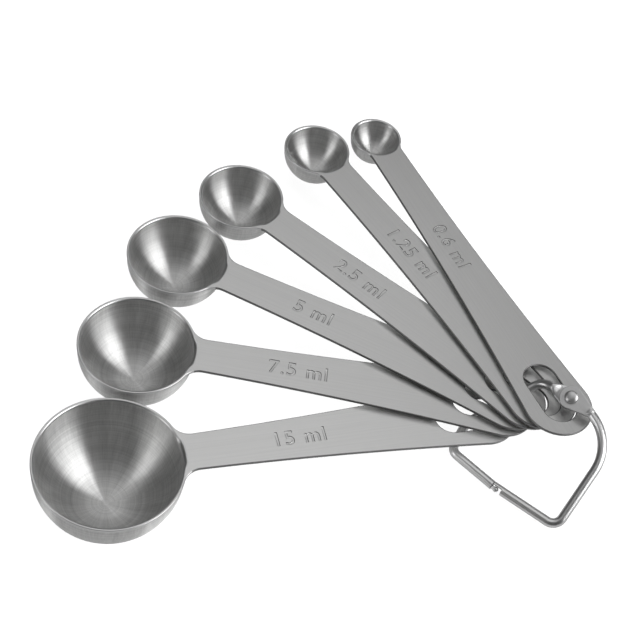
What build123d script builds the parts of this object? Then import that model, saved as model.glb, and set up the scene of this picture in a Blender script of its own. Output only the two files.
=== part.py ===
"""A fan of six stamped steel measuring spoons threaded on a hinged wire ring."""
from build123d import *
from math import acos, atan2, cos, degrees, radians, sin, sqrt
import os

# Spoons: bowl radius outside, reach from the bowl's centre to the end of the handle, and the
# heading of the handle seen from above, in degrees.
tablespoon_radius = 19.5
tablespoon_reach = 110.2
tablespoon_heading = 13.8
half_tablespoon_radius = 15.8
half_tablespoon_reach = 108.1
half_tablespoon_heading = -5.9
teaspoon_radius = 14.1
teaspoon_reach = 109.2
teaspoon_heading = -23.5
half_teaspoon_radius = 12.1
half_teaspoon_reach = 110.0
half_teaspoon_heading = -38.5
quarter_teaspoon_radius = 9.7
quarter_teaspoon_reach = 112.3
quarter_teaspoon_heading = -54.4
eighth_teaspoon_radius = 7.6
eighth_teaspoon_reach = 112.3
eighth_teaspoon_heading = -63.5
# From the lowest in the stack to the highest.
SPOONS = [
    ("tablespoon", tablespoon_radius, tablespoon_reach, tablespoon_heading),
    ("half_tablespoon", half_tablespoon_radius, half_tablespoon_reach, half_tablespoon_heading),
    ("teaspoon", teaspoon_radius, teaspoon_reach, teaspoon_heading),
    ("half_teaspoon", half_teaspoon_radius, half_teaspoon_reach, half_teaspoon_heading),
    ("quarter_teaspoon", quarter_teaspoon_radius, quarter_teaspoon_reach, quarter_teaspoon_heading),
    ("eighth_teaspoon", eighth_teaspoon_radius, eighth_teaspoon_reach, eighth_teaspoon_heading),
]
# Where the ring wire crosses each slot, as shares of the slot's length from its outer end and of
# its width from its middle line.
CROSSING_SHARES = [
    (0.283, -0.010), (0.386, -0.103), (0.355, -0.144),
    (0.447, -0.124), (0.519, -0.103), (0.704, -0.083)]

# Bowls: sheet thickness, how far the rim stands out over the wall, how much deeper than a half
# ball a bowl is, as a share of its radius, and the rounding of the bowl's mouth.
bowl_wall = 0.8
rim_step = 0.15
lip_share = 0.071
lip_round = 0.65

# Handles: thickness, width behind the bowl, width at the end, and the roundings beside the bowl.
handle_thickness = 0.8
neck_width = 10.2
end_width = 19.2
neck_fillet = 5.0

# Slots for the ring at the handles' ends.
slot_near = 4.1
slot_length = 18.9
slot_width = 9.5

# Stack: distance from one handle to the next.
pitch = 1.62

# Ring: wire, hinge and outline, seen square to the ring with the hinge at the top.
wire_diameter = 2.5
hinge_place = (21.4, -0.35, 11.2)
ring_tilt = 28.5
ring_tilt_heading = -137.0
ring_heading = -36.0
bow_radius = 13.1
bow_across = 2.45
bow_down = 13.2
side_drop = 17.65
left_corner = 18.6
left_rise = 1.6
clasp_offset = 4.1
corner_radius = 2.8
# The threaded half dips below the ring's plane to run through the slots: across, down and below.
ARCH_BEND = (9.3, -0.2, 2.27)
RUN_END = (20.1, 20.5, 2.55)
arch_radius = 4.5
run_end_radius = 6.0

# Hinge: each wire's end is flattened into a tab with an eyelet, one on the other, and a rivet
# with domed heads holds them.
eyelet_radius = 3.2
eyelet_thickness = 1.0
eyelet_gap = 0.06
body_tab = 5.6
body_tab_width = 3.9
gate_tab = 6.8
gate_tab_width = 3.2
tab_overlap = 0.6
rivet_diameter = 1.8
rivet_fit = 0.05
rivet_head_diameter = 3.6
rivet_head_height = 0.95
head_gap = 0.05

# Clasp: a round tongue on the threaded half lies in a notch cut up into the gate's end.
tongue_diameter = 1.0
tongue_length = 2.0
tongue_drop = 0.5
notch_depth = 2.6
notch_rise = 0.35
clasp_gap = 0.3

# Cuts run past the faces that they open by this much.
overrun = 1.0

wire_radius = wire_diameter / 2
plate_half = handle_thickness / 2


def handle_outline(reach):
    """The handle's outline: a rounded end, and two sides that arc in to the bowl's centre."""
    end_half = end_width / 2
    neck_half = neck_width / 2
    centre = reach - end_half
    side_radius = (centre**2 + neck_half**2 - end_half**2) / (2 * (end_half - neck_half))
    share = end_half / (side_radius + end_half)
    touch = (centre - centre * share, (neck_half + side_radius) * share)
    with BuildLine() as edge:
        RadiusArc((0, neck_half), touch, -side_radius)
        ThreePointArc(touch, (reach, 0), (touch[0], -touch[1]))
        RadiusArc((touch[0], -touch[1]), (0, -neck_half), -side_radius)
        Line((0, -neck_half), (0, neck_half))
    return make_face(edge.line)


def spoon_flat(radius, reach):
    """The flat of the spoon, rim and handle in one, with the slot and the roundings at the bowl."""
    flat = Circle(radius) + handle_outline(reach)
    meeting = sqrt(radius**2 - (neck_width / 2) ** 2)
    corners = [v for v in flat.vertices() if abs(v.X - meeting) < neck_width / 4]
    flat = fillet(corners, min(neck_fillet, radius / 2))
    middle = reach - slot_near - slot_length / 2
    return flat - Pos(middle, 0) * SlotOverall(slot_length, slot_width)


def bowl_shape(radius, foot, top):
    """A solid bowl shape: straight from top down to the lip's foot, then half a ball."""
    with BuildSketch(Plane.XZ) as section:
        with BuildLine():
            Polyline((0, foot - radius), (0, top), (radius, top), (radius, foot))
            RadiusArc((radius, foot), (0, foot - radius), radius)
        make_face()
    return Rot(0, 0, 180) * revolve(section.sketch, Axis.Z)


def mouth_shape(radius):
    """The rounding that opens a bowl's mouth at the top face."""
    top = plate_half + overrun
    wide = radius + lip_round
    with BuildSketch(Plane.XZ) as section:
        with BuildLine():
            Polyline((radius, plate_half - lip_round), (0, plate_half - lip_round), (0, top),
                     (wide, top), (wide, plate_half))
            RadiusArc((wide, plate_half), (radius, plate_half - lip_round), -lip_round)
        make_face()
    return Rot(0, 0, 180) * revolve(section.sketch, Axis.Z)


def spoon(radius, reach):
    """One spoon with its bowl's centre at the origin and its handle along X."""
    plate = extrude(spoon_flat(radius, reach), plate_half, both=True)
    wall = radius - rim_step
    inner = wall - bowl_wall
    foot = -radius * lip_share
    outside = bowl_shape(wall, foot, -plate_half)
    inside = bowl_shape(inner, foot, plate_half) + mouth_shape(inner)
    return plate + outside - inside


def crossing(index):
    """Where the wire crosses this spoon's slot, in the spoon's own frame."""
    along, across = CROSSING_SHARES[index]
    reach = SPOONS[index][2]
    return (reach - slot_near - along * slot_length, across * slot_width)


def ring_plane():
    """The plane of the ring through the hinge, with X along the ring's straight side."""
    tilt, heading = radians(ring_tilt), radians(ring_tilt_heading)
    normal = Vector(sin(tilt) * cos(heading), sin(tilt) * sin(heading), cos(tilt))
    along = Vector(cos(radians(ring_heading)), sin(radians(ring_heading)), 0)
    along = along - normal * along.dot(normal)
    return Plane(origin=hinge_place, x_dir=along.normalized(), z_dir=normal)


def run_points():
    """The threaded half's inclined run: its two ends in the stack's frame."""
    across, down, below = ARCH_BEND
    top = ring_plane().from_local_coords(Vector(-across, -down, -below))
    across, down, below = RUN_END
    return top, ring_plane().from_local_coords(Vector(-across, -down, -below))


def crossing_place(index):
    """The place on the run at the height of this spoon's handle."""
    top, foot = run_points()
    height = min(index * pitch, top.Z)
    return top + (foot - top) * ((top.Z - height) / (top.Z - foot.Z))


def spoon_location(index):
    """The turn and move that thread a spoon on the ring at its place in the stack."""
    turn = SPOONS[index][3]
    x, y = crossing(index)
    at = crossing_place(index)
    held = Vector(x, y, 0).rotate(Axis.Z, turn)
    return Pos(at.X - held.X, at.Y - held.Y, index * pitch) * Rot(0, 0, turn)


def eyelet(side, tab, tab_width):
    """A flattened eyelet on a tab along X; side is 1 for the upper one, -1 for the lower."""
    middle = side * (eyelet_gap + eyelet_thickness) / 2
    foot = Pos(tab - tab_overlap / 2, 0) * Rectangle(tab_overlap, tab_width)
    outline = make_hull(Circle(eyelet_radius).edges() + foot.edges())
    bore = Circle(rivet_diameter / 2 + rivet_fit)
    return Pos(0, 0, middle) * extrude(outline - bore, eyelet_thickness / 2, both=True)


def ring_height():
    """How far the ring's bottom side lies below the hinge."""
    return bow_down + side_drop


def ring_body():
    """The threaded half: eyelet, run through the slots, left corner, and tongue at the clasp."""
    start = (tab_overlap - body_tab, 0, 0)
    bend, foot = [(-across, -down, -below) for across, down, below in (ARCH_BEND, RUN_END)]
    corner = (-left_corner, left_rise - ring_height(), 0)
    end = (-clasp_offset - clasp_gap / 2, -ring_height(), 0)
    path = FilletPolyline(
        start, bend, foot, corner, end, radius=[arch_radius, run_end_radius, corner_radius])
    rod = sweep((path ^ 0) * Circle(wire_radius), path=path)
    tongue = Pos(end[0] - clasp_gap, end[1] - tongue_drop) * Rot(0, 90, 0) * Cylinder(
        tongue_diameter / 2, clasp_gap + tongue_length,
        align=(Align.CENTER, Align.CENTER, Align.MIN))
    return Rot(0, 0, 180) * eyelet(-1, body_tab, body_tab_width) + rod + tongue


def right_corner():
    """Where the gate's straight side meets the bottom of the ring."""
    return (bow_across + bow_radius, -ring_height())


def bow_turn(reach):
    """The turn round the bow's centre, in degrees, of the point at this reach from the hinge."""
    away = sqrt(bow_across**2 + bow_down**2)
    opening = acos((away**2 + bow_radius**2 - reach**2) / (2 * away * bow_radius))
    return degrees(atan2(bow_down, -bow_across) - opening)


def ring_gate():
    """The half that swings: eyelet, bow, straight side, and the notch at the clasp."""
    tip = radians(bow_turn(gate_tab))
    lean = degrees(atan2(bow_radius * sin(tip) - bow_down, bow_across + bow_radius * cos(tip)))
    start_turn = bow_turn(gate_tab - tab_overlap)
    bow = CenterArc((bow_across, -bow_down), bow_radius, start_turn, -start_turn)
    end = (-clasp_offset + clasp_gap / 2, -ring_height())
    path = bow + FilletPolyline(bow @ 1, right_corner(), end, radius=corner_radius)
    rod = sweep((path ^ 0) * Circle(wire_radius), path=path)
    notch = Pos(end[0] + notch_depth / 2, end[1] + notch_rise) * Box(
        notch_depth, wire_diameter, wire_diameter + overrun,
        align=(Align.CENTER, Align.MAX, Align.CENTER))
    return Rot(0, 0, lean) * eyelet(1, gate_tab, gate_tab_width) + rod - notch


def rivet():
    """The hinge rivet with a domed head on each face."""
    grip = eyelet_thickness + eyelet_gap / 2 + head_gap
    shank = Cylinder(rivet_diameter / 2, 2 * grip)
    head_radius = rivet_head_diameter / 2
    ball = (head_radius**2 + rivet_head_height**2) / (2 * rivet_head_height)
    dome = Sphere(ball) & Pos(0, 0, ball) * Box(4 * ball, 4 * ball, 2 * rivet_head_height)
    top = Pos(0, 0, grip + rivet_head_height - ball) * dome
    return shank + top + mirror(top, Plane.XY)


def table_normal(places, heights):
    """The direction that is up when each place is its height above the table."""
    a, b = places[1] - places[0], places[2] - places[0]
    rise_a, rise_b = heights[1] - heights[0], heights[2] - heights[0]
    across = a.cross(b)
    size = across.dot(across)
    level = (b.cross(across) * rise_a + across.cross(a) * rise_b) * (1 / size)
    return level + across * (sqrt(1 - level.dot(level)) / sqrt(size))


def ball_centre(index):
    """The centre of the ball that closes a spoon's bowl, in the stack's frame."""
    radius = SPOONS[index][1]
    place = spoon_location(index).position
    return Vector(place.X, place.Y, place.Z - radius * lip_share), radius - rim_step


def lay_down():
    """The turn that sets two bowls and the ring's straight side on the table."""
    first, first_radius = ball_centre(0)
    last, last_radius = ball_centre(4)
    side_x, side_y = right_corner()
    side = ring_plane().from_local_coords(Vector(side_x - corner_radius, side_y, 0))
    up = table_normal([first, side, last], [first_radius, wire_radius, last_radius])
    tilt = degrees(atan2(sqrt(up.X**2 + up.Y**2), up.Z))
    lean = degrees(atan2(up.Y, up.X))
    return Rot(0, 0, lean) * Rot(0, -tilt, 0) * Rot(0, 0, -lean)


def build():
    """Every piece in its place on the table, with the origin below the middle of the set."""
    hold = ring_plane().location
    parts = {"ring_body": hold * ring_body()}
    parts["ring_gate"] = hold * ring_gate()
    parts["hinge_rivet"] = hold * rivet()
    for index, (name, radius, reach, turn) in enumerate(SPOONS):
        parts[name] = spoon_location(index) * spoon(radius, reach)
    settle = lay_down()
    parts = {name: settle * part for name, part in parts.items()}
    box = Compound([solid for part in parts.values() for solid in part.solids()]).bounding_box()
    middle = box.center()
    return {name: Pos(-middle.X, -middle.Y, -box.min.Z) * part for name, part in parts.items()}


os.makedirs("parts", exist_ok=True)
for name, part in build().items():
    export_step(part, f"parts/{name}.step")
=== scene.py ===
from math import acos, asin, atan2, cos, pi, radians, sin, sqrt, tau

import bmesh
import bpy
from mathutils import Matrix, Vector


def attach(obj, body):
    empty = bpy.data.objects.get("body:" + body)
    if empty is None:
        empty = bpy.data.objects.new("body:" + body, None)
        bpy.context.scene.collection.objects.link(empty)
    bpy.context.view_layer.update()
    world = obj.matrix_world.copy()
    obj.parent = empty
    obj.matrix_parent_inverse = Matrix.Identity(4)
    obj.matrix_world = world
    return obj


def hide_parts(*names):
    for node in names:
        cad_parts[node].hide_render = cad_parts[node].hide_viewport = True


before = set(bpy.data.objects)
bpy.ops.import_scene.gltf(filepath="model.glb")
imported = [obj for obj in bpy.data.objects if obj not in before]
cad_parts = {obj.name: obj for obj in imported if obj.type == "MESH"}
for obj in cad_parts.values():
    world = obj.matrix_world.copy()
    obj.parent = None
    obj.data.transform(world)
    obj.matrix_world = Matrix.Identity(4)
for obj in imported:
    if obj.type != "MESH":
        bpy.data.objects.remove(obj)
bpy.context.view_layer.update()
MM = 0.001

# Camera. It looks down on the fan from the front, from the height of someone
# standing at the table.
camera_place = Vector((-0.00383, -0.22247, 0.35128))
camera_right = Vector((0.99998, -0.00583, 0.00439))
camera_up = Vector((0.00251, 0.84021, 0.54226))
camera_back = Vector((-0.00685, -0.54224, 0.84020))

lens = bpy.data.cameras.new("camera")
lens.sensor_width = 36.0
lens.lens = 83.3
lens.clip_start = 0.01
camera = bpy.data.objects.new("camera", lens)
turn = Matrix((camera_right, camera_up, camera_back)).transposed()
camera.matrix_world = Matrix.Translation(camera_place) @ turn.to_4x4()
bpy.context.collection.objects.link(camera)
bpy.context.scene.camera = camera
bpy.context.scene.view_settings.view_transform = "Standard"

# Table top. A thin white sheet on which the spoons lie. It lets the white of
# the room behind it through, keeps a faint shadow, and looks grey in the steel.
table_size = 3.0
table_drop = 0.00003
table_clear = 0.90
table_mirrored = 0.36
table_colour = (0.42, 0.42, 0.42, 1.0)

table = bpy.data.objects.new("table_top", bpy.data.meshes.new("table_top"))
half = table_size / 2
table.data.from_pydata(
    [(-half, -half, -table_drop), (half, -half, -table_drop),
     (half, half, -table_drop), (-half, half, -table_drop)], [], [(0, 1, 2, 3)])
bpy.context.collection.objects.link(table)
paint = bpy.data.materials.new("table_white")
paint.use_nodes = True
nodes, links = paint.node_tree.nodes, paint.node_tree.links
nodes.clear()
out = nodes.new("ShaderNodeOutputMaterial")
matte = nodes.new("ShaderNodeBsdfDiffuse")
matte.inputs["Color"].default_value = table_colour
clear = nodes.new("ShaderNodeBsdfTransparent")
glow = nodes.new("ShaderNodeEmission")
path = nodes.new("ShaderNodeLightPath")
seen = path.outputs["Is Camera Ray"]
for ray in ("Is Transmission Ray", "Is Shadow Ray"):
    most = nodes.new("ShaderNodeMath")
    most.operation = "MAXIMUM"
    links.new(seen, most.inputs[0])
    links.new(path.outputs[ray], most.inputs[1])
    seen = most.outputs[0]
for ray_share, level, socket in (
        (seen, table_clear, clear.inputs["Color"]),
        (path.outputs["Is Glossy Ray"], table_mirrored, glow.inputs["Strength"])):
    scaled = nodes.new("ShaderNodeMath")
    scaled.operation = "MULTIPLY"
    scaled.inputs[1].default_value = level
    links.new(ray_share, scaled.inputs[0])
    links.new(scaled.outputs[0], socket)
lit = nodes.new("ShaderNodeAddShader")
both = nodes.new("ShaderNodeAddShader")
links.new(matte.outputs[0], lit.inputs[0])
links.new(glow.outputs[0], lit.inputs[1])
links.new(lit.outputs[0], both.inputs[0])
links.new(clear.outputs[0], both.inputs[1])
links.new(both.outputs[0], out.inputs["Surface"])
table.data.materials.append(paint)

# Light. Soft boxes over the table, as in a small photo studio, and a grey room
# round it that the steel mirrors. The camera sees the room as white.
room_grey = 0.055
BOXES = [
    # name, way to the box, way of its long side, distance, width, length, radiance
    ("box_right", (0.84, -0.21, 0.50), (0.25, -0.38, -0.67), 0.9, 0.66, 0.84, 3.8),
    ("box_left", (-0.82, -0.32, 0.47), (-0.24, -0.18, -0.76), 0.9, 0.27, 0.80, 2.1),
    ("box_top", (0.08, 0.38, 0.92), (0.00, 0.92, -0.38), 1.1, 0.90, 1.17, 0.80),
]

world = bpy.data.worlds.new("room")
bpy.context.scene.world = world
world.use_nodes = True
nodes, links = world.node_tree.nodes, world.node_tree.links
backdrop = nodes["Background"]
backdrop.inputs["Color"].default_value = (1.0, 1.0, 1.0, 1.0)
paths = nodes.new("ShaderNodeLightPath")
direct = nodes.new("ShaderNodeMath")
direct.operation = "MAXIMUM"
links.new(paths.outputs["Is Camera Ray"], direct.inputs[0])
links.new(paths.outputs["Is Transmission Ray"], direct.inputs[1])
strength = nodes.new("ShaderNodeMath")
strength.operation = "MAXIMUM"
strength.inputs[1].default_value = room_grey
links.new(direct.outputs[0], strength.inputs[0])
links.new(strength.outputs[0], backdrop.inputs["Strength"])
for name, towards, along, distance, width, length, radiance in BOXES:
    lamp = bpy.data.lights.new(name, "AREA")
    lamp.shape = "RECTANGLE"
    lamp.size, lamp.size_y = width, length
    lamp.energy = radiance * pi * width * length
    softbox = bpy.data.objects.new(name, lamp)
    towards = Vector(towards).normalized()
    across = Vector(along).cross(towards).normalized()
    turn = Matrix((across, towards.cross(across), towards)).transposed()
    softbox.matrix_world = Matrix.Translation(towards * distance) @ turn.to_4x4()
    bpy.context.collection.objects.link(softbox)

# Spoons. Six measuring spoons, each blanked and drawn in one piece from
# stainless sheet: a deep round bowl with a straight lip, a flat handle that
# widens to a round end, and a long slot for the ring. The handles are brushed
# lengthwise, the bowls are brushed in circles on a lathe.
stack_up = Vector((0.156456, 0.078767, 0.984539))
SPOONS = [
    # name, bowl radius, reach to the handle's end, bowl's centre, way the handle points
    ("tablespoon", 19.5, 110.2, (-54.0757, -51.5799, 20.8116),
     (0.957675, 0.231757, -0.170728)),
    ("half_tablespoon", 15.8, 108.1, (-49.4820, -15.5463, 18.8442),
     (0.983072, -0.108648, -0.147530)),
    ("teaspoon", 14.1, 109.2, (-40.2793, 15.1947, 16.5678),
     (0.908225, -0.403197, -0.112071)),
    ("half_teaspoon", 12.1, 110.0, (-23.3755, 37.4396, 13.7473),
     (0.776821, -0.625428, -0.073410)),
    ("quarter_teaspoon", 9.7, 112.3, (-1.6171, 57.5456, 10.3265),
     (0.579992, -0.814174, -0.027031)),
    ("eighth_teaspoon", 7.6, 112.3, (16.0726, 63.4429, 8.6891),
     (0.446252, -0.894907, 0.000681)),
]
sheet_half = 0.40
bowl_wall = 0.8
rim_step = 0.15
lip_share = 0.071
neck_half = 5.1
end_half = 9.6
neck_round = 5.0
slot_near = 4.1
slot_length = 18.9
slot_half = 4.75
edge_round = 0.20
under_round = 0.06
hold_line = 0.03
rim_round = 0.58
bend_round = 1.25
root_round = 0.5
bowl_steps = 144
ball_steps = 36
end_steps = 28
side_steps = 48
corner_steps = 12
rim_steps = 72
slot_steps = 24
edge_steps = 5
underside_steps = 3
mouth_steps = 7
neck_cover = 1.02
neck_fade = 0.45


def arc(centre, radius, start, end, steps, outward):
    """Points on an arc with the way out of the metal, which is away from its centre or to it."""
    places = []
    for step in range(steps + 1):
        angle = start + (end - start) * step / steps
        way = Vector((cos(angle), sin(angle)))
        places.append((centre + way * radius, way * outward))
    return places


def spoon_outline(radius, reach):
    """The blank's outline: end arc, sides that narrow to the neck, neck rounding and bowl."""
    middle = reach - end_half
    side = (middle**2 + neck_half**2 - end_half**2) / (2 * (end_half - neck_half))
    side_centre = Vector((0.0, neck_half + side))
    share = end_half / (side + end_half)
    touch = Vector((middle - middle * share, side_centre.y * share))
    round_off = min(neck_round, radius / 2)
    height = (radius + round_off)**2 - (side - round_off)**2 + side_centre.y**2
    height = height / (2 * side_centre.y)
    corner = Vector((sqrt((radius + round_off)**2 - height**2), height))
    on_side = side_centre + (corner - side_centre) * side / (side - round_off)
    on_bowl = corner * radius / (radius + round_off)
    end_middle = Vector((middle, 0.0))
    bowl_middle = Vector((0.0, 0.0))

    def bearing(place, centre):
        return atan2(place.y - centre.y, place.x - centre.x)

    runs = [
        (arc(end_middle, end_half, 0.0, bearing(touch, end_middle), end_steps, 1.0), 1.0),
        (arc(side_centre, side, bearing(touch, side_centre),
             bearing(on_side, side_centre), side_steps, -1.0), 1.0),
        (arc(corner, round_off, bearing(on_side, corner),
             bearing(on_bowl, corner), corner_steps, -1.0), None),
        (arc(bowl_middle, radius, bearing(on_bowl, bowl_middle), pi, rim_steps, 1.0), 0.0),
    ]
    half_loop = []
    for points, weight in runs:
        last = len(points) - 1
        for index, (place, out_way) in enumerate(points):
            if half_loop and index == 0:
                continue
            handle = 1.0 - index / last if weight is None else weight
            half_loop.append((place, out_way, handle))
    other = [(Vector((p.x, -p.y)), Vector((n.x, -n.y)), w) for p, n, w in half_loop[-2:0:-1]]
    return half_loop + other


def slot_outline(reach):
    """The slot's outline, with the way out of the metal, which is into the slot."""
    middle = reach - slot_near - slot_length / 2
    straight = slot_length / 2 - slot_half
    right = arc(Vector((middle + straight, 0.0)), slot_half, -pi / 2, pi / 2, slot_steps, -1.0)
    left = arc(Vector((middle - straight, 0.0)), slot_half, pi / 2, 3 * pi / 2,
               slot_steps, -1.0)
    return [(p, n, 1.0) for p, n in right + left]


def ring_of(bm, points):
    """A closed ring of vertices."""
    return [bm.verts.new(point) for point in points]


def bridge(bm, uv, one, two, across, material):
    """Four-sided faces between two rings, brushed along the rings."""
    count = len(one)
    along = [0.0]
    for index in range(count):
        along.append(along[-1] + (one[(index + 1) % count].co - one[index].co).length)
    faces = []
    for index in range(count):
        after = (index + 1) % count
        face = bm.faces.new((one[index], one[after], two[after], two[index]))
        corners = ((index, 0), (index + 1, 0), (index + 1, 1), (index, 1))
        for loop, where in zip(face.loops, corners):
            loop[uv].uv = (along[where[0]], across[where[1]])
        face.material_index = material if isinstance(material, int) else material[index]
        face.smooth = True
        faces.append(face)
    return faces


def rounded_edge(bm, uv, outline, half, top, bottom, material):
    """The cut edge round an outline: top rounding, wall and bottom rounding.

    Returns the ring that bounds the top face and the ring that bounds the bottom face."""
    rows = [[(top + hold_line, half)] * len(outline)]
    for step in range(edge_steps + 1):
        angle = step * pi / (2 * edge_steps)
        rows.append([(top * (1 - sin(angle)), half - top * (1 - cos(angle)))] * len(outline))
    for step in range(underside_steps + 1):
        angle = step * pi / (2 * underside_steps)
        rows.append([
            (bottom(w) * (1 - cos(angle)), -half + bottom(w) * (1 - sin(angle)))
            for _, _, w in outline])
    rows.append([(bottom(w) + hold_line * w * w, -half) for _, _, w in outline])
    rings = [
        ring_of(bm, [(p.x - n.x * off, p.y - n.y * off, z)
                     for (p, n, _), (off, z) in zip(outline, row)])
        for row in rows]
    if material is None:
        # Handle and slot edges take the darkened edge steel, which is painted shade; the bowl's
        # rim takes the rim steel.
        material = [4 if w > 0.5 else 2 for _, _, w in outline]
    depth = 0.0
    for upper, lower, row, below in zip(rings, rings[1:], rows, rows[1:]):
        step = sqrt((row[0][0] - below[0][0])**2 + (row[0][1] - below[0][1])**2)
        bridge(bm, uv, upper, lower, (depth, depth + step), material)
        depth += step
    return rings[0], rings[-1]


def ease(share):
    """A soft step from 0 to 1."""
    share = max(0.0, min(1.0, share))
    return share * share * (3 - 2 * share)


def neck_weight(angle, radius):
    """1 where the handle leaves the bowl, 0 round the rest of the rim."""
    away = abs((angle + pi) % tau - pi)
    spread = asin(neck_half / radius)
    return ease((spread * neck_cover - away) / (spread * neck_fade))


def bowl_mouth(bm, uv, radius, outside):
    """The strips between the half ball and the flat sheet, inside or under the sheet.

    Returns the ring that bounds the flat."""
    foot = -radius * lip_share
    wall = radius - rim_step - (0.0 if outside else bowl_wall)
    rows = [[(wall, foot)] * bowl_steps]
    weights = [neck_weight(tau * k / bowl_steps, radius) for k in range(bowl_steps)]
    if outside:
        low = under_round * 0.8
        high = max(low, min(root_round, -foot - sheet_half - 0.01))
        bends = [low + (high - low) * w for w in weights]
        sign, level = -1.0, -sheet_half
    else:
        high = min(bend_round, sheet_half - foot * 0.95)
        bends = [rim_round + (high - rim_round) * w for w in weights]
        sign, level = 1.0, sheet_half
    for step in range(mouth_steps + 1):
        angle = step * pi / (2 * mouth_steps)
        rows.append([
            (wall + bend * (1 - cos(angle)), level - sign * bend * (1 - sin(angle)))
            for bend in bends])
    if not outside:
        rows.append([(wall + bend + hold_line, level) for bend in bends])
    rings = []
    for row in rows:
        rings.append(ring_of(bm, [
            (r * cos(tau * k / bowl_steps), r * sin(tau * k / bowl_steps), z)
            for k, (r, z) in enumerate(row)]))
    depth = pi / 2 * wall
    for index, (lower, upper) in enumerate(zip(rings, rings[1:])):
        step = sqrt((rows[index][0][0] - rows[index + 1][0][0])**2
                    + (rows[index][0][1] - rows[index + 1][0][1])**2)
        material = 1 if index == 0 or outside else 2
        bridge(bm, uv, lower, upper, (depth, depth + step), material)
        depth += step
    return rings[-1]


def flat_face(bm, uv, rings):
    """A flat face between an outline and the holes in it, brushed along the handle."""
    edges = []
    for ring in rings:
        for one, two in zip(ring, ring[1:] + ring[:1]):
            edges.append(bm.edges.get((one, two)) or bm.edges.new((one, two)))
    made = bmesh.ops.triangle_fill(bm, use_beauty=True, edges=edges)["geom"]
    for face in made:
        if isinstance(face, bmesh.types.BMFace):
            face.material_index = 0
            face.smooth = True
            for loop in face.loops:
                loop[uv].uv = (loop.vert.co.x, loop.vert.co.y)


def add_node(tree, kind, **settings):
    """A node with its settings, and with its inputs set by name where they are given."""
    node = tree.nodes.new(kind)
    for name, value in settings.items():
        if hasattr(node, name):
            setattr(node, name, value)
        else:
            node.inputs[name].default_value = value
    return node


def drawn_bowl_tree():
    """A half ball inside and one outside, for a bowl drawn in sheet metal."""
    tree = bpy.data.node_groups.new("Drawn bowl", "GeometryNodeTree")
    tree.interface.new_socket("Geometry", in_out="INPUT", socket_type="NodeSocketGeometry")
    for name in ("Inside radius", "Wall", "Centre height"):
        tree.interface.new_socket(name, in_out="INPUT", socket_type="NodeSocketFloat")
    tree.interface.new_socket("Metal", in_out="INPUT", socket_type="NodeSocketMaterial")
    tree.interface.new_socket("Geometry", in_out="OUTPUT", socket_type="NodeSocketGeometry")
    link = tree.links.new
    given = add_node(tree, "NodeGroupInput")
    done = add_node(tree, "NodeGroupOutput")
    grid = add_node(tree, "GeometryNodeMeshGrid")
    grid.inputs["Size X"].default_value = 1.0
    grid.inputs["Size Y"].default_value = 1.0
    grid.inputs["Vertices X"].default_value = bowl_steps + 1
    grid.inputs["Vertices Y"].default_value = ball_steps + 1
    here = add_node(tree, "GeometryNodeInputPosition")
    parts = add_node(tree, "ShaderNodeSeparateXYZ")
    link(here.outputs[0], parts.inputs[0])

    def sum_of(operation, one, two=None):
        node = add_node(tree, "ShaderNodeMath", operation=operation)
        for socket, value in zip(node.inputs, (one, two)):
            if isinstance(value, (int, float)):
                socket.default_value = value
            elif value is not None:
                link(value, socket)
        return node.outputs[0]

    round_turn = sum_of("MULTIPLY", sum_of("ADD", parts.outputs[0], 0.5), tau)
    rise = sum_of("MULTIPLY", sum_of("ADD", parts.outputs[1], 0.5), pi / 2)
    spread = sum_of("SINE", rise)
    place = add_node(tree, "ShaderNodeCombineXYZ")
    link(sum_of("MULTIPLY", spread, sum_of("COSINE", round_turn)), place.inputs[0])
    link(sum_of("MULTIPLY", spread, sum_of("SINE", round_turn)), place.inputs[1])
    link(sum_of("MULTIPLY", sum_of("COSINE", rise), -1.0), place.inputs[2])
    ball = add_node(tree, "GeometryNodeSetPosition")
    link(grid.outputs["Mesh"], ball.inputs["Geometry"])
    link(place.outputs[0], ball.inputs["Position"])
    shift = add_node(tree, "ShaderNodeCombineXYZ")
    link(given.outputs["Centre height"], shift.inputs[2])
    joined = add_node(tree, "GeometryNodeJoinGeometry")
    for outer in (False, True):
        size = given.outputs["Inside radius"]
        if outer:
            size = sum_of("ADD", size, given.outputs["Wall"])
        shell = add_node(tree, "GeometryNodeTransform")
        link(ball.outputs[0], shell.inputs["Geometry"])
        link(shift.outputs[0], shell.inputs["Translation"])
        scale = add_node(tree, "ShaderNodeCombineXYZ")
        for socket in scale.inputs:
            link(size, socket)
        link(scale.outputs[0], shell.inputs["Scale"])
        lay = add_node(tree, "ShaderNodeVectorMath", operation="MULTIPLY")
        link(grid.outputs["UV Map"], lay.inputs[0])
        reach = add_node(tree, "ShaderNodeCombineXYZ")
        link(sum_of("MULTIPLY", size, tau), reach.inputs[0])
        link(sum_of("MULTIPLY", size, pi / 2), reach.inputs[1])
        link(reach.outputs[0], lay.inputs[1])
        keep = add_node(
            tree, "GeometryNodeStoreNamedAttribute", data_type="FLOAT2", domain="CORNER")
        keep.inputs["Name"].default_value = "brush"
        link(shell.outputs[0], keep.inputs["Geometry"])
        link(lay.outputs[0], keep.inputs["Value"])
        link(keep.outputs[0], joined.inputs[0])
    weld = add_node(tree, "GeometryNodeMergeByDistance")
    weld.inputs["Distance"].default_value = 0.0005
    smooth = add_node(tree, "GeometryNodeSetShadeSmooth")
    real = add_node(tree, "GeometryNodeRealizeInstances")
    metal = add_node(tree, "GeometryNodeSetMaterial")
    link(joined.outputs[0], weld.inputs["Geometry"])
    link(weld.outputs[0], smooth.inputs["Geometry"])
    link(smooth.outputs[0], real.inputs["Geometry"])
    link(real.outputs[0], metal.inputs["Geometry"])
    link(given.outputs["Metal"], metal.inputs["Material"])
    link(metal.outputs[0], done.inputs[0])
    return tree


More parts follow.
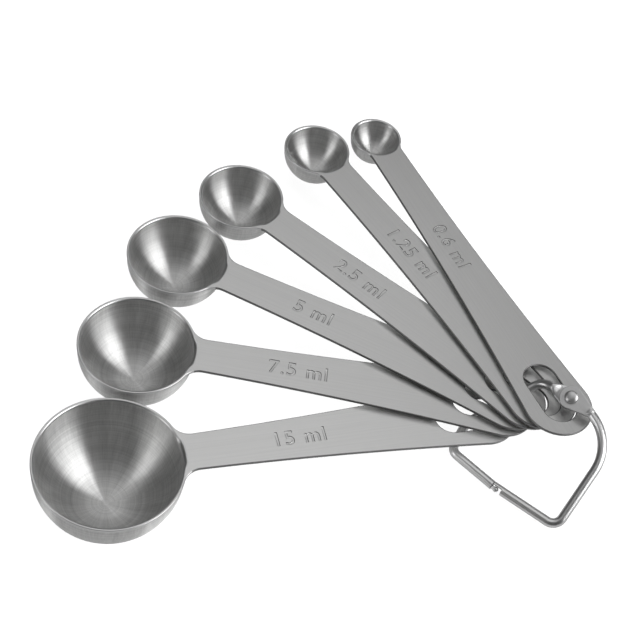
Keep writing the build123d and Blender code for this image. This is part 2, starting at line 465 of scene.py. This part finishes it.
def grown(piece, tree, values):
    """The plain mesh that a geometry tree makes on a piece, with the tree's inputs set by name."""
    modifier = piece.modifiers.new(tree.name, "NODES")
    modifier.node_group = tree
    for socket in tree.interface.items_tree:
        if socket.in_out == "INPUT" and socket.name in values:
            modifier[socket.identifier] = values[socket.name]
    bpy.context.view_layer.update()
    seen_as = piece.evaluated_get(bpy.context.evaluated_depsgraph_get())
    mesh = bpy.data.meshes.new_from_object(seen_as)
    piece.modifiers.remove(modifier)
    return mesh


def brush_group():
    """Fine scratches that run along the brush map: a height, a tint and a roughness change."""
    group = bpy.data.node_groups.new("Brush lines", "ShaderNodeTree")
    for name, value in (("Across", 14.0), ("Along", 0.25), ("Depth", 1.0), ("Tint", 0.12)):
        socket = group.interface.new_socket(name, in_out="INPUT", socket_type="NodeSocketFloat")
        socket.default_value = value
    for name in ("Height", "Shade", "Rough"):
        group.interface.new_socket(name, in_out="OUTPUT", socket_type="NodeSocketFloat")
    link = group.links.new
    given = add_node(group, "NodeGroupInput")
    done = add_node(group, "NodeGroupOutput")
    lay = add_node(group, "ShaderNodeUVMap", uv_map="brush")
    scale = add_node(group, "ShaderNodeCombineXYZ")
    link(given.outputs["Along"], scale.inputs[0])
    link(given.outputs["Across"], scale.inputs[1])
    spread = add_node(group, "ShaderNodeVectorMath", operation="MULTIPLY")
    link(lay.outputs[0], spread.inputs[0])
    link(scale.outputs[0], spread.inputs[1])
    fine = add_node(group, "ShaderNodeTexNoise", noise_dimensions="2D")
    fine.inputs["Scale"].default_value = 1.0
    fine.inputs["Detail"].default_value = 3.0
    fine.inputs["Roughness"].default_value = 0.6
    link(spread.outputs[0], fine.inputs["Vector"])
    wide = add_node(group, "ShaderNodeTexNoise", noise_dimensions="2D")
    wide.inputs["Scale"].default_value = 0.16
    wide.inputs["Detail"].default_value = 2.0
    link(spread.outputs[0], wide.inputs["Vector"])
    height = add_node(group, "ShaderNodeMath", operation="MULTIPLY")
    link(fine.outputs[0], height.inputs[0])
    link(given.outputs["Depth"], height.inputs[1])
    link(height.outputs[0], done.inputs["Height"])
    mixed = add_node(group, "ShaderNodeMath", operation="ADD")
    link(fine.outputs[0], mixed.inputs[0])
    link(wide.outputs[0], mixed.inputs[1])
    centred = add_node(group, "ShaderNodeMath", operation="SUBTRACT")
    link(mixed.outputs[0], centred.inputs[0])
    centred.inputs[1].default_value = 1.0
    shade = add_node(group, "ShaderNodeMath", operation="MULTIPLY_ADD")
    link(centred.outputs[0], shade.inputs[0])
    link(given.outputs["Tint"], shade.inputs[1])
    shade.inputs[2].default_value = 1.0
    link(shade.outputs[0], done.inputs["Shade"])
    here = add_node(group, "ShaderNodeTexCoord")
    smudge = add_node(group, "ShaderNodeTexNoise")
    smudge.inputs["Scale"].default_value = 90.0
    smudge.inputs["Detail"].default_value = 3.0
    link(here.outputs["Object"], smudge.inputs["Vector"])
    dull = add_node(group, "ShaderNodeMix", data_type="FLOAT")
    dull.inputs[0].default_value = 0.5
    link(wide.outputs[0], dull.inputs[2])
    link(smudge.outputs[0], dull.inputs[3])
    link(dull.outputs[0], done.inputs["Rough"])
    return group


brush_lines = brush_group()
streak_length = 0.25
streak_width = 2.2


def brushed_metal(
        name, colour, rough, rough_spread, grain, across, along, depth, tint, drawn=0.0):
    """Brushed stainless steel: scratches along the brush map stretch the reflections.

    Drawn sheet also keeps faint streaks square to the scratches."""
    material = bpy.data.materials.new(name)
    material.use_nodes = True
    tree = material.node_tree
    link = tree.links.new
    shader = tree.nodes["Principled BSDF"]
    shader.inputs["Metallic"].default_value = 1.0
    shader.inputs["Anisotropic"].default_value = grain
    shader.inputs["Anisotropic Rotation"].default_value = 0.25
    lines = add_node(tree, "ShaderNodeGroup")
    lines.node_tree = brush_lines
    for socket, value in (("Across", across), ("Along", along), ("Depth", 1.0), ("Tint", tint)):
        lines.inputs[socket].default_value = value
    tinted = add_node(tree, "ShaderNodeMix", data_type="RGBA", blend_type="MULTIPLY")
    tinted.inputs[0].default_value = 1.0
    tinted.inputs[6].default_value = (*colour, 1.0)
    link(lines.outputs["Shade"], tinted.inputs[7])
    streaks = add_node(tree, "ShaderNodeGroup")
    streaks.node_tree = brush_lines
    for socket, value in (("Across", streak_length), ("Along", streak_width),
                          ("Depth", 0.0), ("Tint", drawn)):
        streaks.inputs[socket].default_value = value
    worn = add_node(tree, "ShaderNodeMix", data_type="RGBA", blend_type="MULTIPLY")
    worn.inputs[0].default_value = 1.0
    link(tinted.outputs[2], worn.inputs[6])
    link(streaks.outputs["Shade"], worn.inputs[7])
    link(worn.outputs[2], shader.inputs["Base Color"])
    matte = add_node(tree, "ShaderNodeMapRange")
    matte.inputs["To Min"].default_value = rough - rough_spread
    matte.inputs["To Max"].default_value = rough + rough_spread
    link(lines.outputs["Rough"], matte.inputs["Value"])
    link(matte.outputs[0], shader.inputs["Roughness"])
    bump = add_node(tree, "ShaderNodeBump")
    bump.inputs["Strength"].default_value = depth
    bump.inputs["Distance"].default_value = 0.00002
    link(lines.outputs["Height"], bump.inputs["Height"])
    link(bump.outputs[0], shader.inputs["Normal"])
    run = add_node(tree, "ShaderNodeTangent", direction_type="UV_MAP", uv_map="brush")
    link(run.outputs[0], shader.inputs["Tangent"])
    return material


def satin_metal(name, colour, rough, spread, scale):
    """Steel with no one way of brushing: drawn wire, pressed tabs, and the walls of the stamped
    letters, whose dark colour is painted shade.
    """
    material = bpy.data.materials.new(name)
    material.use_nodes = True
    tree = material.node_tree
    shader = tree.nodes["Principled BSDF"]
    shader.inputs["Metallic"].default_value = 1.0
    shader.inputs["Specular Tint"].default_value = (0.5, 0.5, 0.5, 1.0)
    shader.inputs["Base Color"].default_value = (*colour, 1.0)
    here = add_node(tree, "ShaderNodeTexCoord")
    marks = add_node(tree, "ShaderNodeTexNoise")
    marks.inputs["Scale"].default_value = scale
    marks.inputs["Detail"].default_value = 4.0
    tree.links.new(here.outputs["Object"], marks.inputs["Vector"])
    level = add_node(tree, "ShaderNodeMapRange")
    level.inputs["From Min"].default_value = 0.3
    level.inputs["From Max"].default_value = 0.7
    level.inputs["To Min"].default_value = rough - spread
    level.inputs["To Max"].default_value = rough + spread
    tree.links.new(marks.outputs[0], level.inputs["Value"])
    tree.links.new(level.outputs[0], shader.inputs["Roughness"])
    bump = add_node(tree, "ShaderNodeBump")
    bump.inputs["Strength"].default_value = 0.15
    bump.inputs["Distance"].default_value = 0.00002
    tree.links.new(marks.outputs[0], bump.inputs["Height"])
    tree.links.new(bump.outputs[0], shader.inputs["Normal"])
    return material


# The handle steel is coloured lighter than the bowl steel of the same sheet: partly painted light,
# making the handles look more brightly lit; the lengthwise brushing is the steel's own.
handle_steel_painted_lighter = brushed_metal(
    "handle_steel_painted_lighter", (0.74, 0.74, 0.735), rough=0.40, rough_spread=0.03, grain=0.5,
    across=14.0, along=0.08, depth=0.25, tint=0.10)
bowl_steel = brushed_metal(
    "bowl_steel", (0.66, 0.66, 0.655), rough=0.37, rough_spread=0.04, grain=0.95,
    across=9.0, along=0.03, depth=0.30, tint=0.40, drawn=0.35)
# The walls of the stamped figures are coloured near black: painted shade in the pressed grooves,
# not a colour of the steel.
painted_shade_letter_steel = satin_metal(
    "painted_shade_letter_steel", (0.10, 0.10, 0.10), rough=0.36, spread=0.04, scale=900.0)
rim_steel = brushed_metal(
    "rim_steel", (0.62, 0.62, 0.62), rough=0.32, rough_spread=0.03, grain=0.3,
    across=8.0, along=0.10, depth=0.10, tint=0.05)
# The cut edges of handles and slots are given a colour far darker than the sheet's own: painted
# shade for the dark gaps between the stacked handles.
painted_shade_edge_steel = brushed_metal(
    "painted_shade_edge_steel", (0.22, 0.22, 0.22), rough=0.46, rough_spread=0.03, grain=0.3,
    across=8.0, along=0.10, depth=0.10, tint=0.05)
steels = (handle_steel_painted_lighter, bowl_steel, rim_steel, painted_shade_letter_steel, painted_shade_edge_steel)
bowl_tree = drawn_bowl_tree()


def piece_from(name, bm, place, materials):
    """An object at the origin whose mesh lies at its place, in metres."""
    bmesh.ops.recalc_face_normals(bm, faces=bm.faces)
    bm.transform(place)
    mesh = bpy.data.meshes.new(name)
    bm.to_mesh(mesh)
    bm.free()
    for material in materials:
        mesh.materials.append(material)
    piece = bpy.data.objects.new(name, mesh)
    bpy.context.collection.objects.link(piece)
    return piece


spoon_pieces = {}
for name, radius, reach, centre, way in SPOONS:
    inside = radius - rim_step - bowl_wall
    seed = bpy.data.objects.new("bowl_seed", bpy.data.meshes.new("bowl_seed"))
    bpy.context.collection.objects.link(seed)
    bowl = grown(seed, bowl_tree, {
        "Inside radius": inside, "Wall": bowl_wall, "Centre height": -radius * lip_share,
        "Metal": bowl_steel})
    bpy.data.objects.remove(seed)
    bm = bmesh.new()
    bm.from_mesh(bowl)
    uv = bm.loops.layers.uv["brush"]
    for face in bm.faces:
        face.material_index = 1
    outline = spoon_outline(radius, reach)
    top_ring, under_ring = rounded_edge(
        bm, uv, outline, sheet_half, edge_round,
        lambda w: under_round + (edge_round - under_round) * w, None)
    slot_top, slot_under = rounded_edge(
        bm, uv, slot_outline(reach), sheet_half, edge_round, lambda w: edge_round, None)
    mouth = bowl_mouth(bm, uv, radius, False)
    root = bowl_mouth(bm, uv, radius, True)
    flat_face(bm, uv, [top_ring, slot_top, mouth])
    flat_face(bm, uv, [under_ring, slot_under, root])
    bmesh.ops.remove_doubles(bm, verts=bm.verts, dist=0.002)
    way = Vector(way).normalized()
    side = stack_up.cross(way).normalized()
    axes = Matrix((way, side, stack_up)).transposed().to_4x4()
    place = Matrix.Translation(Vector(centre) * MM) @ axes @ Matrix.Scale(MM, 4)
    piece = piece_from(name + "_stamping", bm, place, steels)
    spoon_pieces[name] = (piece, place)


# Measures. Each handle is stamped with what its bowl holds, in plain figures
# pressed a little way into the sheet. The walls of the figures are painted dark as shade in the
# grooves.
MEASURES = [
    # spoon, words, middle of the words from the handle's end
    ("tablespoon", "15 ml", 60.7),
    ("half_tablespoon", "7.5 ml", 64.9),
    ("teaspoon", "5 ml", 68.1),
    ("half_teaspoon", "2.5 ml", 67.0),
    ("quarter_teaspoon", "1.25 ml", 66.9),
    ("eighth_teaspoon", "0.6 ml", 67.2),
]
letter_size = 6.0
letter_weight = 0.08
letter_depth = 0.20
letter_draft = 0.18
letter_space = 1.10
letter_proud = 0.3
sharp_edge = radians(40.0)


def solved(piece, tool, operation):
    """The piece with a second solid cut from it or joined to it."""
    modifier = piece.modifiers.new("solve", "BOOLEAN")
    modifier.solver = "EXACT"
    modifier.operation = operation
    modifier.object = tool
    bpy.context.view_layer.update()
    seen_as = piece.evaluated_get(bpy.context.evaluated_depsgraph_get())
    mesh = bpy.data.meshes.new_from_object(seen_as)
    piece.modifiers.remove(modifier)
    piece.data = mesh
    mesh.set_sharp_from_angle(angle=sharp_edge)
    bpy.data.objects.remove(tool)


reaches = {name: reach for name, radius, reach, centre, way in SPOONS}
for name, words, from_end in MEASURES:
    piece, place = spoon_pieces[name]
    letters = bpy.data.curves.new("letters", "FONT")
    letters.body = words
    letters.size = letter_size
    letters.align_x = "CENTER"
    letters.align_y = "CENTER"
    letters.space_character = letter_space
    letters.offset = letter_weight - letter_draft
    letters.bevel_depth = letter_draft
    letters.bevel_resolution = 2
    letters.extrude = (letter_depth + letter_proud) / 2 - letter_draft
    letters.resolution_u = 6
    block = bpy.data.objects.new("letters", letters)
    bpy.context.collection.objects.link(block)
    bpy.context.view_layer.update()
    seen_as = block.evaluated_get(bpy.context.evaluated_depsgraph_get())
    solid = bmesh.new()
    solid.from_mesh(bpy.data.meshes.new_from_object(seen_as))
    bpy.data.objects.remove(block)
    bmesh.ops.remove_doubles(solid, verts=solid.verts, dist=0.001)
    lift = sheet_half + (letter_proud - letter_depth) / 2
    on_handle = Matrix.Translation((reaches[name] - from_end, 0.0, lift))
    uv = solid.loops.layers.uv.new("brush")
    for face in solid.faces:
        # The floor of each figure keeps the handle steel; its walls take the near-black letter
        # steel, which is painted shade.
        face.material_index = 0 if face.normal.z < -0.9 else 3
        for loop in face.loops:
            loop[uv].uv = (loop.vert.co.x + reaches[name] - from_end, loop.vert.co.y)
    punch = piece_from("punch", solid, place @ on_handle, steels)
    solved(piece, punch, "DIFFERENCE")
    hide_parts(name)
    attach(piece, name)

# Ring. Two bent lengths of bright steel wire. Each is flattened at one end
# into a tab with an eyelet, and their other ends meet in the clasp.
ring_place = Matrix((
    (0.787280, -0.616568, 0.005828), (0.581467, 0.745538, 0.325683),
    (-0.205151, -0.253015, 0.945461))).transposed().to_4x4()
ring_place = Matrix.Translation(Vector((65.3175, -27.9201, 11.3215)) * MM) @ ring_place
ring_place = ring_place @ Matrix.Scale(MM, 4)
wire_radius = 1.25
bow_radius = 13.1
bow_across = 2.45
bow_down = 13.2
side_drop = 17.65
ring_drop = bow_down + side_drop
left_corner = 18.6
left_rise = 1.6
clasp_at = -4.1
clasp_gap = 0.3
corner_round = 2.8
arch_round = 4.5
arch = (-9.3, 0.2, -2.27)
run_foot = (-20.1, -20.5, -2.55)
run_round = 6.0
eyelet_radius = 3.2
eyelet_half = 0.5
eyelet_lift = 0.53
eyelet_bore = 0.95
body_tab = 5.6
body_tab_half = 1.95
gate_tab = 6.8
gate_tab_half = 1.6
tab_round = 0.22
end_ease = 0.15
wire_steps = 32
bend_steps = 10
eyelet_steps = 40
tab_end_steps = 16
press_steps = 12
press_flat_width = 0.98
press_flat_thick = 0.96
press_rise = 1.25
press_square = 0.55
bore_round = 0.05


bright_wire = satin_metal(
    "bright_wire", (0.70, 0.70, 0.70), rough=0.33, spread=0.02, scale=500.0)
pressed_tab = satin_metal(
    "pressed_tab", (0.70, 0.70, 0.70), rough=0.45, spread=0.06, scale=1400.0)


def bent_line(points, rounds):
    """A path through corners that are rounded by these radii."""
    points = [Vector(point) for point in points]
    path = [points[0]]
    for before, corner, after, radius in zip(points, points[1:], points[2:], rounds):
        back, on = (before - corner).normalized(), (after - corner).normalized()
        half_angle = back.angle(on) / 2
        middle = corner + (back + on).normalized() * radius / sin(half_angle)
        start = corner + back * radius * cos(half_angle) / sin(half_angle) - middle
        end = corner + on * radius * cos(half_angle) / sin(half_angle) - middle
        sweep = start.angle(end)
        for step in range(bend_steps + 1):
            share = step / bend_steps
            mixed = start * sin(sweep * (1 - share)) + end * sin(sweep * share)
            path.append(middle + mixed / sin(sweep))
    return path + [points[-1]]


def bent_wire_tree():
    """A round wire along a path, with its cut end eased off."""
    tree = bpy.data.node_groups.new("Bent wire", "GeometryNodeTree")
    tree.interface.new_socket("Geometry", in_out="INPUT", socket_type="NodeSocketGeometry")
    for name in ("Wire radius", "End ease"):
        tree.interface.new_socket(name, in_out="INPUT", socket_type="NodeSocketFloat")
    tree.interface.new_socket("Metal", in_out="INPUT", socket_type="NodeSocketMaterial")
    tree.interface.new_socket("Geometry", in_out="OUTPUT", socket_type="NodeSocketGeometry")
    link = tree.links.new
    given = add_node(tree, "NodeGroupInput")
    done = add_node(tree, "NodeGroupOutput")
    line = add_node(tree, "GeometryNodeMeshToCurve")
    link(given.outputs["Geometry"], line.inputs[0])
    along = add_node(tree, "GeometryNodeSplineParameter")
    whole = add_node(tree, "GeometryNodeSplineLength")
    left = add_node(tree, "ShaderNodeMath", operation="SUBTRACT")
    link(whole.outputs["Length"], left.inputs[0])
    link(along.outputs["Length"], left.inputs[1])
    eased = add_node(tree, "ShaderNodeMapRange", interpolation_type="SMOOTHERSTEP")
    link(left.outputs[0], eased.inputs["Value"])
    link(given.outputs["End ease"], eased.inputs["From Max"])
    eased.inputs["To Min"].default_value = 0.88
    thick = add_node(tree, "GeometryNodeSetCurveRadius")
    link(line.outputs[0], thick.inputs["Curve"])
    link(eased.outputs[0], thick.inputs["Radius"])
    hoop = add_node(tree, "GeometryNodeCurvePrimitiveCircle")
    hoop.inputs["Resolution"].default_value = wire_steps
    link(given.outputs["Wire radius"], hoop.inputs["Radius"])
    swept = add_node(tree, "GeometryNodeCurveToMesh")
    swept.inputs["Fill Caps"].default_value = True
    link(thick.outputs[0], swept.inputs["Curve"])
    link(hoop.outputs["Curve"], swept.inputs["Profile Curve"])
    smooth = add_node(tree, "GeometryNodeSetShadeSmooth")
    link(swept.outputs[0], smooth.inputs["Geometry"])
    real = add_node(tree, "GeometryNodeRealizeInstances")
    link(smooth.outputs[0], real.inputs["Geometry"])
    metal = add_node(tree, "GeometryNodeSetMaterial")
    link(real.outputs[0], metal.inputs["Geometry"])
    link(given.outputs["Metal"], metal.inputs["Material"])
    link(metal.outputs[0], done.inputs[0])
    return tree


def eyelet_outline(tab, tab_half):
    """The pressed tab's outline: round the eyelet, tapering to the round end at the wire."""
    reach = tab - tab_half
    lean = acos((eyelet_radius - tab_half) / reach)
    big = arc(Vector((0.0, 0.0)), eyelet_radius, lean, tau - lean, eyelet_steps, 1.0)
    small = arc(Vector((reach, 0.0)), tab_half, -lean, lean, tab_end_steps, 1.0)
    return [(p, n, 1.0) for p, n in big + small]


def pressed_end(bm, start, start_way, start_up, end, end_way, radius, tab_half):
    """The stretch where the round wire is pressed flat, from the tab out to the wire."""
    rings = []
    for step in range(press_steps + 1):
        share = step / press_steps
        soft = ease(share)
        run = (end - start).length
        h1, h2 = 2 * share**3 - 3 * share**2 + 1, share**3 - 2 * share**2 + share
        h3, h4 = -2 * share**3 + 3 * share**2, share**3 - share**2
        middle = start * h1 + start_way * run * h2 + end * h3 + end_way * run * h4
        way = start_way.lerp(end_way, soft).normalized()
        across = start_up.cross(way).normalized()
        up = way.cross(across)
        flat_wide = tab_half * press_flat_width
        flat_thick = eyelet_half * press_flat_thick
        wide = flat_wide + (radius - flat_wide) * soft
        thick = flat_thick + (radius - flat_thick) * ease(share * press_rise)
        power = press_square + (1 - press_square) * soft
        ring = []
        for corner in range(wire_steps):
            angle = tau * corner / wire_steps
            c, s = cos(angle), sin(angle)
            ring.append(bm.verts.new(
                middle + across * (abs(c)**power * (1 if c >= 0 else -1) * wide)
                + up * (abs(s)**power * (1 if s >= 0 else -1) * thick)))
        rings.append(ring)
    for one, two in zip(rings, rings[1:]):
        for index in range(wire_steps):
            after = (index + 1) % wire_steps
            bm.faces.new((one[index], one[after], two[after], two[index])).smooth = True
    bm.faces.new(rings[0])
    bm.faces.new(rings[-1])


wire_tree = bent_wire_tree()


def ring_half(name, tab, tab_half, tab_turn, side, path, press_to, press_way):
    """One half of the ring: wire, pressed stretch and eyelet tab as one solid."""
    line = bpy.data.meshes.new("line")
    last_way = (path[-1] - path[-2]).normalized()
    ease_steps = 5
    for step in range(ease_steps, 0, -1):
        path.insert(-1, path[-1] - last_way * end_ease * step / ease_steps)
    line.from_pydata(path, [(k, k + 1) for k in range(len(path) - 1)], [])
    seed = bpy.data.objects.new("line", line)
    bpy.context.collection.objects.link(seed)
    wire = grown(seed, wire_tree, {
        "Wire radius": wire_radius, "End ease": end_ease, "Metal": bright_wire})
    bpy.data.objects.remove(seed)
    bm = bmesh.new()
    bm.from_mesh(wire)
    bmesh.ops.remove_doubles(bm, verts=bm.verts, dist=0.0005)
    piece = piece_from(name, bm, ring_place, (bright_wire, pressed_tab))
    tilt = Matrix.Rotation(tab_turn, 4, "Z")
    lift = Matrix.Translation((0.0, 0.0, side * eyelet_lift))
    bm = bmesh.new()
    uv = bm.loops.layers.uv.new("brush")
    round_hole = arc(Vector((0.0, 0.0)), eyelet_bore, 0.0, tau, eyelet_steps, -1.0)[:-1]
    hole = [(p, n, 1.0) for p, n in round_hole]
    outer = rounded_edge(
        bm, uv, eyelet_outline(tab, tab_half), eyelet_half, tab_round, lambda w: tab_round, 1)
    bore = rounded_edge(bm, uv, hole, eyelet_half, bore_round, lambda w: bore_round, 1)
    flat_face(bm, uv, [outer[0], bore[0]])
    flat_face(bm, uv, [outer[1], bore[1]])
    for face in bm.faces:
        face.material_index = 1
    bmesh.ops.remove_doubles(bm, verts=bm.verts, dist=0.001)
    plate = piece_from("plate", bm, ring_place @ tilt @ lift, (bright_wire, pressed_tab))
    bm = bmesh.new()
    along = Vector((cos(tab_turn), sin(tab_turn), 0.0))
    start = along * (tab - tab_half) + Vector((0.0, 0.0, side * eyelet_lift))
    pressed_end(bm, start, along, Vector((0.0, 0.0, 1.0)), press_to, press_way, wire_radius,
                tab_half)
    for face in bm.faces:
        face.material_index = 1
    press = piece_from("press", bm, ring_place, (bright_wire, pressed_tab))
    solved(piece, press, "UNION")
    solved(piece, plate, "UNION")
    return piece


press_length = 0.9
body_start = Vector((0.6 - body_tab, 0.0, 0.0))
body_way = (Vector(arch) - body_start).normalized()
body_press = body_start + body_way * press_length
body_end = (clasp_at - clasp_gap / 2, -ring_drop, 0.0)
body_path = bent_line(
    [body_press - body_way * 0.05, arch, run_foot, (-left_corner, left_rise - ring_drop, 0.0),
     body_end], [arch_round, run_round, corner_round])
body_piece = ring_half(
    "ring_body_wire", body_tab, body_tab_half, pi, -1.0, body_path, body_press, body_way)

tongue_radius = 0.5
tongue_length = 2.0
tongue_drop = 0.5
tongue_rooted = 0.3
tongue_overlap = 0.15
tongue_steps = 24
bead_radius = 0.72
bead_steps = 12
bm = bmesh.new()
profile = [(tongue_radius, -tongue_rooted)]
profile.append((tongue_radius, tongue_length - 2 * bead_radius + tongue_overlap))
for step in range(1, bead_steps):
    angle = pi * (0.25 + 0.75 * step / bead_steps)
    profile.append((
        bead_radius * sin(angle), tongue_length - bead_radius - bead_radius * cos(angle)))


def turned(bm, profile, steps, material):
    """A turned solid about Z from a profile of radius and height, closed at both ends."""
    rings = []
    for radius, height in profile:
        rings.append([bm.verts.new((
            radius * cos(tau * k / steps), radius * sin(tau * k / steps), height))
            for k in range(steps)])
    for one, two in zip(rings, rings[1:]):
        for k in range(steps):
            face = bm.faces.new((one[k], one[(k + 1) % steps], two[(k + 1) % steps], two[k]))
            face.smooth = True
            face.material_index = material
    for ring in (rings[0], rings[-1]):
        face = bm.faces.new(ring)
        face.smooth = True
        face.material_index = material


turned(bm, profile, tongue_steps, 0)
aim = Matrix.Translation(Vector(body_end) - Vector((0.0, tongue_drop, 0.0)))
aim = aim @ Matrix.Rotation(pi / 2, 4, "Y")
tongue = piece_from("tongue", bm, ring_place @ aim, (bright_wire,))
solved(body_piece, tongue, "UNION")
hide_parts("ring_body")
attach(body_piece, "ring")

hinge_bearing = atan2(bow_down, -bow_across)
hinge_away = sqrt(bow_across**2 + bow_down**2)


def bow_point(angle):
    """The point of the bow at this turn round its centre."""
    return Vector((
        bow_across + bow_radius * cos(angle), bow_radius * sin(angle) - bow_down, 0.0))


def bow_turn(reach):
    """The turn round the bow's centre of the point at this reach from the hinge."""
    return hinge_bearing - acos(
        (hinge_away**2 + bow_radius**2 - reach**2) / (2 * hinge_away * bow_radius))


gate_tip = bow_point(bow_turn(gate_tab))
gate_lean = atan2(gate_tip.y, gate_tip.x)
press_turn = bow_turn(gate_tab - 0.6) - press_length / bow_radius
bow = [bow_point((press_turn + 0.003) * (1 - step / 32)) for step in range(33)]
gate_way = Vector((sin(press_turn), -cos(press_turn), 0.0))
gate_corner = (bow_across + bow_radius, -ring_drop, 0.0)
gate_end = (clasp_at + clasp_gap / 2, -ring_drop, 0.0)
gate_path = bow[:-1] + bent_line([bow[-1], gate_corner, gate_end], [corner_round])
gate_piece = ring_half(
    "ring_gate_wire", gate_tab, gate_tab_half, gate_lean, 1.0, gate_path,
    bow_point(press_turn), gate_way)

notch_depth = 2.6
notch_rise = 0.35
bm = bmesh.new()
bmesh.ops.create_cube(bm, size=1.0)
size = Matrix.Diagonal((notch_depth + 1.0, wire_radius * 2, wire_radius * 2 + 1.0, 1.0))
at = Matrix.Translation((
    gate_end[0] + (notch_depth - 1.0) / 2, gate_end[1] + notch_rise - wire_radius, 0.0))
notch = piece_from("notch", bm, ring_place @ at @ size, (bright_wire,))
solved(gate_piece, notch, "DIFFERENCE")
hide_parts("ring_gate")
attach(gate_piece, "gate")

# Hinge rivet. A soft steel pin through both eyelets, its ends peened into
# low domes.
pin_radius = 0.9
head_radius = 1.8
head_height = 0.95
grip = 2 * eyelet_half + 0.03 + 0.05
rivet_steps = 48
dome_steps = 12
head_flat = 0.06
head_side = 0.12

rivet_metal = satin_metal(
    "peened_steel", (0.62, 0.62, 0.62), rough=0.40, spread=0.06, scale=1100.0)
bm = bmesh.new()
head = [(head_flat, grip + head_height)]
for step in range(1, dome_steps + 1):
    angle = pi / 2 * step / dome_steps
    head.append((
        head_radius * sin(angle)**0.9,
        grip + head_side + (head_height - head_side) * cos(angle)**0.75))
head += [(head_radius, grip + head_flat), (head_radius - head_flat, grip), (pin_radius, grip)]
profile = head + [(radius, -height) for radius, height in reversed(head)]
turned(bm, profile, rivet_steps, 0)
rivet = piece_from("hinge_rivet_domed", bm, ring_place, (rivet_metal,))
rivet.data.set_sharp_from_angle(angle=sharp_edge)
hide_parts("hinge_rivet")
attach(rivet, "ring")
